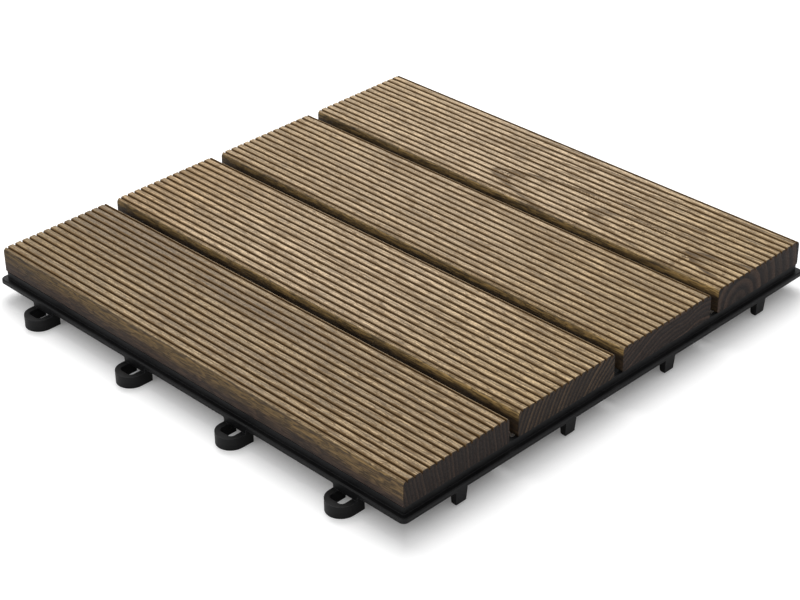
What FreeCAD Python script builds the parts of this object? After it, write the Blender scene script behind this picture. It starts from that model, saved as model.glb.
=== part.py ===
import FreeCAD, Part
import math
import os
import Sketcher
from types import SimpleNamespace

# Interlocking deck tile: four reeded wooden slats on a moulded grid that clips to its neighbours.
# Frame: X runs along the slats, Z is up, and the origin is the middle of the tile's square at the ground.
# Loops stick out on the -Y and -X sides. Pegs hang under the +X and +Y sides.

# Driving dimensions, in millimetres and plain counts
SIZES = (
    ("tile_pitch", 300.0, "from one clipped tile's middle to the next one's"),
    ("joint_gap", 0.6, "left between the flanges of two clipped tiles"),
    ("flange_lift", 9.1, "underside of the flange above the ground"),
    ("flange_height", 2.5, "thickness of the flange"),
    ("flange_corner", 3.0, "radius of the flange's corners, seen from above"),
    ("flange_easing", 0.5, "bevel along the flange's top edge"),
    ("seat_height", 15.4, "top of the grid, where the slats lie"),
    ("plinth_inset", 0.2, "plinth wall behind the slats' outer faces"),
    ("plinth_wall", 2.2, "thickness of the plinth wall"),
    ("plinth_corner", 1.2, "radius of the plinth's corners, seen from above"),
    ("rib_wall", 2.0, "thickness of a grid rib"),
    ("rib_depth", 7.9, "height of a grid rib"),
    ("ribs_per_slat", 3, "rib spacings in one slat spacing"),
    ("foot_width", 11.0, "outer width of a square foot"),
    ("foot_wall", 2.0, "wall of a foot"),
    ("foot_cap", 3.4, "closed top of a foot"),
    ("feet_across", 6, "feet along one side of the grid"),
    ("boss_width", 10.0, "outer width of a square screw boss"),
    ("boss_floor", 4.4, "plastic between the screw head and the slat"),
    ("field_side", 294.0, "side of the square that the slats cover"),
    ("slat_count", 4, "slats in the tile"),
    ("slat_width", 68.8, "width of a slat"),
    ("slat_thickness", 14.2, "thickness of a slat"),
    ("slat_round", 2.5, "radius along a slat's upper edges"),
    ("slat_easing", 1.0, "radius along a slat's lower edges"),
    ("groove_count", 15, "grooves across a slat"),
    ("groove_pitch", 4.58, "from one groove to the next"),
    ("groove_floor", 0.7, "width of a groove's flat bottom"),
    ("groove_width", 1.1, "width of a groove under its bevels"),
    ("groove_depth", 1.35, "depth of a groove"),
    ("groove_mouth", 0.45, "bevel along a groove's upper edges"),
    ("screws_per_slat", 2, "screws that hold one slat"),
    ("screw_shank", 3.5, "diameter of a screw's shank"),
    ("screw_bite", 9.0, "length of the shank in the wood"),
    ("screw_head", 6.6, "diameter of a screw's head"),
    ("screw_head_height", 2.3, "height of a screw's head"),
    ("screw_play", 0.3, "around a screw's head and shank in its boss"),
    ("loop_pitch", 75.0, "from one loop or peg to the next"),
    ("loop_count", 4, "loops or pegs along one side"),
    ("loop_mouth", 9.2, "width of the space inside a loop"),
    ("loop_side_wall", 3.2, "thickness of a loop's legs"),
    ("loop_nose_wall", 3.8, "thickness of a loop's rounded nose"),
    ("loop_reach", 6.5, "from the flange's outer face to the inside of a loop's nose"),
    ("loop_root", 4.7, "length of a loop's legs under the flange"),
    ("loop_inner_round", 2.3, "radius of the two corners inside a loop's nose"),
    ("loop_height", 6.5, "height of a loop"),
    ("loop_lift", 0.2, "underside of a loop above the ground"),
    ("neck_fillet", 0.9, "radius between a loop's neck and the flange"),
    ("peg_side_play", 0.9, "between a peg's flank and a loop's leg"),
    ("peg_nose_play", 0.7, "between a peg and the inside of a loop's nose"),
    ("peg_corner", 1.2, "bevel on the two corners of a peg that face the tile"),
    ("peg_lift", 0.7, "tip of a peg above the ground"),
    ("peg_draft", 0.45, "that each face of a peg leans in, down to its tip"),
    ("peg_bevel_height", 0.9, "height of the bevel around a peg's tip"),
    ("peg_bevel_width", 0.7, "width of the bevel around a peg's tip"),
)

# How far a cutting profile runs past the surface that it opens
CUT_OVER = 1.0

# How near an edge must lie to the place where it is looked for
NEAR = 1e-3


class Size:
    """A number together with its formula in the sheet's cells."""

    def __init__(self, number, formula):
        self.number = number
        self.formula = formula

    def _with(self, sign, other, work, turned=False):
        if not isinstance(other, Size):
            other = Size(other, str(other))
        first, second = (other, self) if turned else (self, other)
        return Size(work(first.number, second.number), f"({first.formula} {sign} {second.formula})")

    def __add__(self, other):
        return self._with("+", other, lambda a, b: a + b)

    def __radd__(self, other):
        return self._with("+", other, lambda a, b: a + b, turned=True)

    def __sub__(self, other):
        return self._with("-", other, lambda a, b: a - b)

    def __rsub__(self, other):
        return self._with("-", other, lambda a, b: a - b, turned=True)

    def __mul__(self, other):
        return self._with("*", other, lambda a, b: a * b)

    def __rmul__(self, other):
        return self._with("*", other, lambda a, b: a * b, turned=True)

    def __truediv__(self, other):
        return self._with("/", other, lambda a, b: a / b)

    def __neg__(self):
        return 0 - self


ZERO = Size(0, "0")


def fill_sheet(doc):
    """Write the driving dimensions to the sheet and return each one under its own name."""
    sheet = doc.addObject("Spreadsheet::Sheet", "dims")
    for row, (name, number, meaning) in enumerate(SIZES, start=1):
        sheet.set(f"A{row}", meaning)
        sheet.set(f"B{row}", str(number))
        sheet.setAlias(f"B{row}", name)
    doc.recompute()
    return SimpleNamespace(**{name: Size(number, f"dims.{name}") for name, number, _ in SIZES})


def add_shared_sizes(d):
    """Add the sizes that several pieces take from the driving dimensions."""
    d.flange_half = (d.tile_pitch - d.joint_gap) / 2
    d.plinth_half = d.field_side / 2 - d.plinth_inset
    d.slat_pitch = (d.field_side - d.slat_width) / (d.slat_count - 1)
    d.rib_pitch = d.slat_pitch / d.ribs_per_slat
    d.foot_pitch = 2 * d.rib_pitch
    d.foot_corner = (d.feet_across - 1) * d.foot_pitch / 2
    d.long_rib_count = 2 * d.feet_across - 1
    d.rib_underside = d.seat_height - d.rib_depth
    d.head_seat = d.seat_height - d.boss_floor
    d.first_slat_y = (d.slat_width - d.field_side) / 2
    d.first_loop = (1 - d.loop_count) * d.loop_pitch / 2
    d.loop_top = d.loop_lift + d.loop_height
    d.loop_outer = d.loop_mouth / 2 + d.loop_side_wall


class Drawing:
    """One sketch of a body, whose points are pinned to the sheet."""

    def __init__(self, body, name, plane, lift=None):
        self.sketch = body.newObject("Sketcher::SketchObject", name)
        self.sketch.AttachmentSupport = [(origin_part(body, plane), "")]
        self.sketch.MapMode = "FlatFace"
        if lift is not None:
            self.sketch.setExpression("AttachmentOffset.Base.z", lift.formula)

    def rule(self, *parts):
        """Add one geometric rule, such as Vertical, and return its number."""
        return self.sketch.addConstraint(Sketcher.Constraint(*parts))

    def bind(self, kind, name, size, *place):
        """Add one measured rule and bind it to the sheet."""
        number = self.rule(kind, *place, size.number)
        self.sketch.renameConstraint(number, name)
        self.sketch.setExpression(f"Constraints.{name}", size.formula)

    def pin(self, edge, end, across, up):
        """Pin one end or centre of an edge at its distances from the origin."""
        self.bind("DistanceX", f"across_{edge}_{end}", across, -1, 1, edge, end)
        self.bind("DistanceY", f"up_{edge}_{end}", up, -1, 1, edge, end)

    def line(self, start, finish):
        """Draw a straight edge between two pairs of sizes."""
        return self.sketch.addGeometry(Part.LineSegment(point(start), point(finish)), False)

    def arc(self, centre, radius, first, last):
        """Draw an arc between two angles in degrees, anticlockwise, with its centre and radius bound."""
        circle = Part.Circle(point(centre), FreeCAD.Vector(0, 0, 1), radius.number)
        shape = Part.ArcOfCircle(circle, math.radians(first), math.radians(last))
        edge = self.sketch.addGeometry(shape, False)
        self.pin(edge, 3, *centre)
        self.bind("Radius", f"radius_{edge}", radius, edge)
        return edge

    def circle(self, centre, radius):
        """Draw a full circle with its centre and radius bound."""
        shape = Part.Circle(point(centre), FreeCAD.Vector(0, 0, 1), radius.number)
        edge = self.sketch.addGeometry(shape, False)
        self.pin(edge, 3, *centre)
        self.bind("Radius", f"radius_{edge}", radius, edge)
        return edge

    def polygon(self, corners):
        """Draw a closed outline of straight edges and pin each of its corners."""
        edges = [self.line(a, b) for a, b in zip(corners, corners[1:] + corners[:1])]
        for edge, following, corner in zip(edges, edges[1:] + edges[:1], corners):
            self.rule("Coincident", edge, 2, following, 1)
            self.pin(edge, 1, *corner)
        return edges

    def rectangle(self, left, low, right, high):
        """Draw a rectangle between two pairs of sizes."""
        return self.polygon([(left, low), (right, low), (right, high), (left, high)])


def point(pair):
    """Return a pair of sizes as a point of a sketch."""
    return FreeCAD.Vector(pair[0].number, pair[1].number, 0)


def origin_part(body, role):
    """Return the plane or axis of a body's origin that has the given role."""
    return next(item for item in body.Origin.OriginFeatures if item.Role == role)


def add_pad(body, name, drawing, length, downward=False):
    """Raise a sketch into a solid."""
    pad = body.newObject("PartDesign::Pad", name)
    pad.Profile = drawing.sketch
    pad.Reversed = downward
    pad.setExpression("Length", length.formula)
    return pad


def add_pocket(body, name, drawing, length, reverse):
    """Cut a sketch out of the body, to a stated length."""
    pocket = body.newObject("PartDesign::Pocket", name)
    pocket.Profile = drawing.sketch
    pocket.Reversed = reverse
    pocket.setExpression("Length", length.formula)
    return pocket


def add_row(body, name, originals, axis, span, count, second=None):
    """Repeat features along an axis, and along a second one where it is given."""
    row = body.newObject("PartDesign::LinearPattern", name)
    row.Originals = originals
    row.Direction = (origin_part(body, axis), [""])
    row.setExpression("Length", span.formula)
    row.setExpression("Occurrences", count.formula)
    if second:
        row.Direction2 = (origin_part(body, second), [""])
        row.setExpression("Length2", span.formula)
        row.setExpression("Occurrences2", count.formula)
    body.Tip = row
    return row


def row_step(doc, body, name, axis, span, count):
    """Return a row that serves as one step of a compound pattern."""
    step = doc.addObject("PartDesign::LinearPattern", name)
    body.addObject(step)
    step.Direction = (origin_part(body, axis), [""])
    step.setExpression("Length", span.formula)
    step.setExpression("Occurrences", count.formula)
    return step


def quarter_step(doc, body, name, clockwise):
    """Return a quarter turn about Z that serves as one step of a compound pattern."""
    step = doc.addObject("PartDesign::PolarPattern", name)
    body.addObject(step)
    step.Axis = (origin_part(body, "Z_Axis"), [""])
    step.Angle = 90
    step.Occurrences = 2
    step.Reversed = clockwise
    return step


def add_compound_pattern(body, name, originals, steps):
    """Repeat features by several steps, one after the other."""
    pattern = body.newObject("PartDesign::MultiTransform", name)
    pattern.Originals = originals
    pattern.Transformations = steps
    body.Tip = pattern
    return pattern


def pick_edges(doc, base, wanted):
    """Return the names of those edges of a feature that the given test picks."""
    doc.recompute()
    return [f"Edge{i}" for i, edge in enumerate(base.Shape.Edges, start=1) if wanted(edge)]


def add_fillet(doc, body, name, base, wanted, radius):
    """Round those edges of a feature that the given test picks."""
    picked = pick_edges(doc, base, wanted)
    fillet = body.newObject("PartDesign::Fillet", name)
    fillet.Base = (base, picked)
    fillet.setExpression("Radius", radius.formula)
    return fillet


def add_bevel(doc, body, name, base, wanted, size):
    """Bevel those edges of a feature that the given test picks."""
    picked = pick_edges(doc, base, wanted)
    bevel = body.newObject("PartDesign::Chamfer", name)
    bevel.Base = (base, picked)
    bevel.setExpression("Size", size.formula)
    return bevel


def is_straight(edge, direction):
    """Tell whether an edge is a straight line along a direction."""
    if edge.Curve.TypeId != "Part::GeomLine":
        return False
    return abs(abs(edge.Curve.Direction.dot(direction)) - 1) < NEAR


def upright_corner_test(reach):
    """Return the test for an upright edge at a corner of a square that reaches this far each way."""

    def at_corner(edge):
        middle = edge.CenterOfMass
        upright = is_straight(edge, FreeCAD.Vector(0, 0, 1))
        return upright and abs(abs(middle.x) - reach) < NEAR and abs(abs(middle.y) - reach) < NEAR

    return at_corner


def screw_steps(doc, body, d, prefix):
    """Return the steps that carry one screw's place to all of them."""
    return [
        row_step(doc, body, f"{prefix}_slats", "Y_Axis", (d.slat_count - 1) * d.slat_pitch, d.slat_count),
        row_step(doc, body, f"{prefix}_ends", "X_Axis", 2 * d.foot_corner, d.screws_per_slat),
    ]


# Moulded grid

def build_frame(doc, d):
    """Build the flange round the tile and the plinth wall that closes the grid under the slats."""
    body = doc.addObject("PartDesign::Body", "frame")
    inner = d.plinth_half - d.plinth_wall
    ring = Drawing(body, "flange_ring", "XY_Plane", d.flange_lift)
    ring.rectangle(-d.flange_half, -d.flange_half, d.flange_half, d.flange_half)
    ring.rectangle(-inner, -inner, inner, inner)
    flange = add_pad(body, "flange", ring, d.flange_height)
    at_corner = upright_corner_test(d.flange_half.number)
    corners = add_fillet(doc, body, "flange_corners", flange, at_corner, d.flange_corner)
    top = d.flange_lift.number + d.flange_height.number
    inside = inner.number

    def on_flange_lip(edge):
        box = edge.BoundBox
        reach = max(abs(box.XMin), abs(box.XMax), abs(box.YMin), abs(box.YMax))
        return abs(box.ZMin - top) < NEAR and abs(box.ZMax - top) < NEAR and reach > inside + NEAR

    add_bevel(doc, body, "flange_lip", corners, on_flange_lip, d.flange_easing)
    wall = Drawing(body, "plinth_ring", "XY_Plane", d.flange_lift)
    wall.rectangle(-d.plinth_half, -d.plinth_half, d.plinth_half, d.plinth_half)
    wall.rectangle(-inner, -inner, inner, inner)
    plinth = add_pad(body, "plinth", wall, d.seat_height - d.flange_lift)
    at_corner = upright_corner_test(d.plinth_half.number)
    add_fillet(doc, body, "plinth_corners", plinth, at_corner, d.plinth_corner)
    return body


def build_ribs(doc, d, name, axis, count):
    """Build the ribs that are spaced along one axis, and end them inside the plinth wall."""
    body = doc.addObject("PartDesign::Body", name)
    half = d.rib_wall / 2
    reach = d.plinth_half - d.plinth_wall / 2
    strip = Drawing(body, f"{name}_outline", "XY_Plane", d.rib_underside)
    if axis == "X_Axis":
        strip.rectangle(-d.foot_corner - half, -reach, -d.foot_corner + half, reach)
    else:
        strip.rectangle(-reach, -d.foot_corner - half, reach, -d.foot_corner + half)
    rib = add_pad(body, f"{name}_rib", strip, d.rib_depth)
    add_row(body, f"{name}_row", [rib], axis, 2 * d.foot_corner, count)
    return body


def build_posts(doc, d, name, width, height):
    """Build square posts on the ground, one for each foot."""
    body = doc.addObject("PartDesign::Body", name)
    low = -d.foot_corner - width / 2
    high = -d.foot_corner + width / 2
    outline = Drawing(body, f"{name}_outline", "XY_Plane")
    outline.rectangle(low, low, high, high)
    post = add_pad(body, f"{name}_post", outline, height)
    add_row(body, f"{name}_grid", [post], "X_Axis", 2 * d.foot_corner, d.feet_across, "Y_Axis")
    return body


def build_screw_posts(doc, d, name, width, low, height, square):
    """Build posts on the outer cross ribs, one for each screw, square or round."""
    body = doc.addObject("PartDesign::Body", name)
    half = width / 2
    across = -d.foot_corner
    up = d.first_slat_y
    outline = Drawing(body, f"{name}_outline", "XY_Plane", low)
    if square:
        outline.rectangle(across - half, up - half, across + half, up + half)
    else:
        outline.circle((across, up), half)
    post = add_pad(body, f"{name}_post", outline, height)
    add_compound_pattern(body, f"{name}_all", [post], screw_steps(doc, body, d, name))
    return body


def draw_horseshoe(body, d):
    """Draw a loop from above: two legs from under the flange and a round nose with a squarer inside."""
    middle = d.first_loop
    root = -d.flange_half + d.loop_root
    inner = d.loop_mouth / 2
    turn = d.loop_inner_round
    inside = -d.flange_half - d.loop_reach
    inner_y = inside + turn
    outer_y = inside - d.loop_nose_wall + d.loop_outer
    shape = Drawing(body, "loop_outline", "XY_Plane", d.loop_lift)
    nose = shape.arc((middle, outer_y), d.loop_outer, 180, 360)
    right_leg = shape.line((middle + d.loop_outer, outer_y), (middle + d.loop_outer, root))
    right_end = shape.line((middle + d.loop_outer, root), (middle + inner, root))
    right_wall = shape.line((middle + inner, root), (middle + inner, inner_y))
    right_turn = shape.arc((middle + inner - turn, inner_y), turn, 270, 360)
    hollow = shape.line((middle + inner - turn, inside), (middle - inner + turn, inside))
    left_turn = shape.arc((middle - inner + turn, inner_y), turn, 180, 270)
    left_wall = shape.line((middle - inner, inner_y), (middle - inner, root))
    left_end = shape.line((middle - inner, root), (middle - d.loop_outer, root))
    left_leg = shape.line((middle - d.loop_outer, root), (middle - d.loop_outer, outer_y))
    for arc, end, leg, start in (
        (nose, 2, right_leg, 1),
        (nose, 1, left_leg, 2),
        (right_turn, 2, right_wall, 2),
        (right_turn, 1, hollow, 1),
        (left_turn, 2, hollow, 2),
        (left_turn, 1, left_wall, 1),
    ):
        shape.rule("Tangent", arc, end, leg, start)
    for edge in (right_leg, right_wall, left_wall, left_leg):
        shape.rule("Vertical", edge)
    for edge, following in (
        (right_leg, right_end), (right_end, right_wall), (left_wall, left_end), (left_end, left_leg),
    ):
        shape.rule("Coincident", edge, 2, following, 1)
    for edge in (right_end, left_end):
        shape.rule("Horizontal", edge)
        shape.bind("DistanceY", f"up_{edge}", root, -1, 1, edge, 1)
    return shape


def draw_neck(body, d):
    """Draw the block that hangs a loop from the flange, with a fillet at each side of its top."""
    middle = d.first_loop
    half = d.loop_outer
    turn = d.neck_fillet
    high = d.flange_lift
    shape = Drawing(body, "neck_outline", "XZ_Plane", d.flange_half)
    base = shape.line((middle - half, d.loop_top), (middle + half, d.loop_top))
    right = shape.line((middle + half, d.loop_top), (middle + half, high - turn))
    right_arc = shape.arc((middle + half + turn, high - turn), turn, 90, 180)
    top = shape.line((middle + half + turn, high), (middle - half - turn, high))
    left_arc = shape.arc((middle - half - turn, high - turn), turn, 0, 90)
    left = shape.line((middle - half, high - turn), (middle - half, d.loop_top))
    shape.pin(base, 1, middle - half, d.loop_top)
    shape.rule("Horizontal", base)
    shape.rule("Coincident", base, 2, right, 1)
    shape.rule("Tangent", right, 2, right_arc, 2)
    shape.rule("Tangent", right_arc, 1, top, 1)
    shape.rule("Tangent", top, 2, left_arc, 2)
    shape.rule("Tangent", left_arc, 1, left, 1)
    shape.rule("Coincident", left, 2, base, 1)
    return shape


def build_loops(doc, d):
    """Build the loops of two sides, each a horseshoe that hangs from the flange by its neck."""
    body = doc.addObject("PartDesign::Body", "loops")
    loop = add_pad(body, "loop", draw_horseshoe(body, d), d.loop_height)
    neck = add_pad(body, "neck", draw_neck(body, d), d.loop_root, downward=True)
    steps = [
        row_step(doc, body, "loop_row", "X_Axis", (d.loop_count - 1) * d.loop_pitch, d.loop_count),
        quarter_step(doc, body, "loop_turn", clockwise=True),
    ]
    add_compound_pattern(body, "all_loops", [loop, neck], steps)
    return body


def build_pegs(doc, d):
    """Build the pegs of two sides, which drop into the neighbours' loops."""
    body = doc.addObject("PartDesign::Body", "pegs")
    depth = d.loop_reach - d.joint_gap - d.peg_nose_play
    half = d.loop_mouth / 2 - d.peg_side_play
    face = d.flange_half
    levels = (
        ("peg_root", d.flange_lift, ZERO),
        ("peg_shoulder", d.peg_lift + d.peg_bevel_height, d.peg_draft),
        ("peg_tip", d.peg_lift, d.peg_draft + d.peg_bevel_width),
    )
    sections = []
    for name, height, lean in levels:
        section = Drawing(body, name, "XY_Plane", height)
        low = d.first_loop - half + lean
        high = d.first_loop + half - lean
        inside = face - depth + lean
        outside = face - lean
        section.polygon([
            (inside + d.peg_corner, low),
            (outside, low),
            (outside, high),
            (inside + d.peg_corner, high),
            (inside, high - d.peg_corner),
            (inside, low + d.peg_corner),
        ])
        sections.append(section.sketch)
    peg = body.newObject("PartDesign::AdditiveLoft", "peg")
    peg.Profile = sections[0]
    peg.Sections = sections[1:]
    peg.Ruled = True
    steps = [
        row_step(doc, body, "pegs_row", "Y_Axis", (d.loop_count - 1) * d.loop_pitch, d.loop_count),
        quarter_step(doc, body, "pegs_turn", clockwise=False),
    ]
    add_compound_pattern(body, "all_pegs", [peg], steps)
    return body


def cut_out(doc, name, base, tool):
    """Cut one object out of another."""
    cut = doc.addObject("Part::Cut", name)
    cut.Base = base
    cut.Tool = tool
    return cut


def build_grid(doc, d):
    """Build the one-piece moulded grid: its hollow features are cut first, then all is fused once."""
    head_room = d.screw_head + 2 * d.screw_play
    shank_room = d.screw_shank + 2 * d.screw_play
    hollow_width = d.foot_width - 2 * d.foot_wall
    feet = build_posts(doc, d, "feet", d.foot_width, d.seat_height)
    foot_hollows = build_posts(doc, d, "foot_hollows", hollow_width, d.seat_height - d.foot_cap)
    bosses = build_screw_posts(doc, d, "bosses", d.boss_width, d.head_seat, d.boss_floor, square=True)
    passages = build_screw_posts(doc, d, "passages", shank_room, d.head_seat, d.boss_floor, square=False)
    notches = build_screw_posts(
        doc, d, "notches", head_room, d.rib_underside, d.head_seat - d.rib_underside, square=True)
    cross_ribs = build_ribs(doc, d, "cross_ribs", "X_Axis", d.feet_across)
    long_ribs = build_ribs(doc, d, "long_ribs", "Y_Axis", d.long_rib_count)
    hollow_cross_ribs = cut_out(doc, "hollow_cross_ribs", cross_ribs, foot_hollows)
    notched_cross_ribs = cut_out(doc, "notched_cross_ribs", hollow_cross_ribs, notches)
    grid = doc.addObject("Part::MultiFuse", "base_grid")
    grid.Shapes = [
        build_frame(doc, d),
        cut_out(doc, "open_cross_ribs", notched_cross_ribs, passages),
        cut_out(doc, "open_long_ribs", long_ribs, foot_hollows),
        cut_out(doc, "open_feet", feet, foot_hollows),
        cut_out(doc, "open_bosses", bosses, passages),
        build_loops(doc, d),
        build_pegs(doc, d),
    ]
    grid.Refine = True
    return grid


# Slats and their screws

def draw_groove(body, d):
    """Draw a groove's section: a flat bottom, leaning walls and bevelled upper edges."""
    middle = (1 - d.groove_count) * d.groove_pitch / 2
    low = d.groove_floor / 2
    half = d.groove_width / 2
    wide = half + d.groove_mouth
    top = d.slat_thickness
    over = top + CUT_OVER
    shape = Drawing(body, "groove_outline", "YZ_Plane", -d.field_side / 2)
    shape.polygon([
        (middle - low, top - d.groove_depth),
        (middle + low, top - d.groove_depth),
        (middle + half, top - d.groove_mouth),
        (middle + wide, top),
        (middle + wide, over),
        (middle - wide, over),
        (middle - wide, top),
        (middle - half, top - d.groove_mouth),
    ])
    return shape


def build_slat(doc, d, number):
    """Build one reeded slat, from the walking face down to the holes of its screws."""
    body = doc.addObject("PartDesign::Body", f"slat_{number}")
    half = d.slat_width / 2
    section = Drawing(body, "slat_section", "YZ_Plane", -d.field_side / 2)
    section.rectangle(-half, ZERO, half, d.slat_thickness)
    plank = add_pad(body, "plank", section, d.field_side)
    along = FreeCAD.Vector(1, 0, 0)
    top = d.slat_thickness.number

    def is_upper(edge):
        return is_straight(edge, along) and abs(edge.CenterOfMass.z - top) < NEAR

    def is_lower(edge):
        return is_straight(edge, along) and abs(edge.CenterOfMass.z) < NEAR

    rounded = add_fillet(doc, body, "upper_edges", plank, is_upper, d.slat_round)
    add_fillet(doc, body, "lower_edges", rounded, is_lower, d.slat_easing)
    groove = add_pocket(body, "groove", draw_groove(body, d), d.field_side, reverse=True)
    add_row(body, "grooves", [groove], "Y_Axis", (d.groove_count - 1) * d.groove_pitch, d.groove_count)
    pilot = Drawing(body, "pilot_outline", "XY_Plane")
    pilot.circle((-d.foot_corner, ZERO), d.screw_shank / 2)
    hole = add_pocket(body, "pilot", pilot, d.screw_bite, reverse=True)
    add_row(body, "pilots", [hole], "X_Axis", 2 * d.foot_corner, d.screws_per_slat)
    body.setExpression("Placement.Base.y", (d.first_slat_y + (number - 1) * d.slat_pitch).formula)
    body.setExpression("Placement.Base.z", d.seat_height.formula)
    return body


def build_screws(doc, d):
    """Build the screws, which hold the slats from below: one head and one plain shank each."""
    body = doc.addObject("PartDesign::Body", "slat_screws")
    shank = d.screw_shank / 2
    head = d.screw_head / 2
    low = d.head_seat - d.screw_head_height
    high = d.seat_height + d.screw_bite
    axis = -d.foot_corner
    shape = Drawing(body, "screw_section", "XZ_Plane", -d.first_slat_y)
    edges = shape.polygon([
        (axis, low),
        (axis + head, low),
        (axis + head, d.head_seat),
        (axis + shank, d.head_seat),
        (axis + shank, high),
        (axis, high),
    ])
    turned = body.newObject("PartDesign::Revolution", "screw")
    turned.Profile = shape.sketch
    turned.ReferenceAxis = (shape.sketch, [f"Edge{edges[-1] + 1}"])
    turned.Angle = 360
    add_compound_pattern(body, "screws", [turned], screw_steps(doc, body, d, "screw"))
    return body


def check_document(doc, bodies):
    """Stop where an object failed or a piece has no sound shape."""
    for item in doc.Objects:
        if "Invalid" in item.State or "Error" in item.State:
            raise RuntimeError(f"{item.Name} did not build: {item.State}")
    for body in bodies:
        if body.Shape.isNull() or not body.Shape.isValid():
            raise RuntimeError(f"{body.Label} has no sound shape")


def main():
    """Build the tile and write one file for each of its pieces."""
    doc = FreeCAD.newDocument("deck_tile")
    d = fill_sheet(doc)
    add_shared_sizes(d)
    bodies = [build_grid(doc, d)]
    bodies += [build_slat(doc, d, number) for number in range(1, int(d.slat_count.number) + 1)]
    bodies.append(build_screws(doc, d))
    doc.recompute()
    check_document(doc, bodies)
    os.makedirs("parts", exist_ok=True)
    for body in bodies:
        body.Shape.exportStep(f"parts/{body.Label}.step")
        print(body.Label, len(body.Shape.Solids), round(body.Shape.Volume, 1), body.Shape.BoundBox)


main()
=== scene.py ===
"""Looks of the interlocking deck tile: reeded wooden slats on a black moulded grid.

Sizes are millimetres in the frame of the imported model, and those of the studio are metres.
"""

import logging
import math
from dataclasses import dataclass, field
from enum import Enum
from functools import partialmethod, reduce

import bmesh
import bpy
from mathutils import Matrix, Vector
from mathutils.geometry import tessellate_polygon


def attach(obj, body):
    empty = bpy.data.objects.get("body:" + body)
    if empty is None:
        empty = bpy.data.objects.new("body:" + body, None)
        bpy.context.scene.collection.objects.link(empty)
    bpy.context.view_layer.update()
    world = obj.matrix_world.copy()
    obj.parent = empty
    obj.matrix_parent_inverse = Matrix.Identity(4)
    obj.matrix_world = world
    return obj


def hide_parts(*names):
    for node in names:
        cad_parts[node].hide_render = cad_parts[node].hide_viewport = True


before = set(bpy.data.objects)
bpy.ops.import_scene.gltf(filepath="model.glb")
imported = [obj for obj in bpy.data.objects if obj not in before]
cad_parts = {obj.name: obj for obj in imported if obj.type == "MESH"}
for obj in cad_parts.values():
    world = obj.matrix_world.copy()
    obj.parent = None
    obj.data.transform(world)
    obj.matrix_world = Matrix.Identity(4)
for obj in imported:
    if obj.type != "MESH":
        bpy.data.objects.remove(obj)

LOG = logging.getLogger("deck_tile")
MM = 0.001
HALF_LENGTH = 147.0
SLAT_WIDTH = 68.8
HALF_WIDTH = SLAT_WIDTH / 2
SLAT_PITCH = (2 * HALF_LENGTH - SLAT_WIDTH) / 3
SLAT_COUNT = 4
SLAT_BOTTOM = 15.4
SLAT_TOP = 29.6
GROOVE_COUNT = 15
GROOVE_PITCH = 4.58
OUTER_GROOVE = (GROOVE_COUNT - 1) / 2 * GROOVE_PITCH
WHITE = (1.0, 1.0, 1.0)

Colour = tuple[float, float, float]
Point = tuple[float, float]
Socket = bpy.types.NodeSocket
Sockets = dict[str, Socket]


# Shader building


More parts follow.
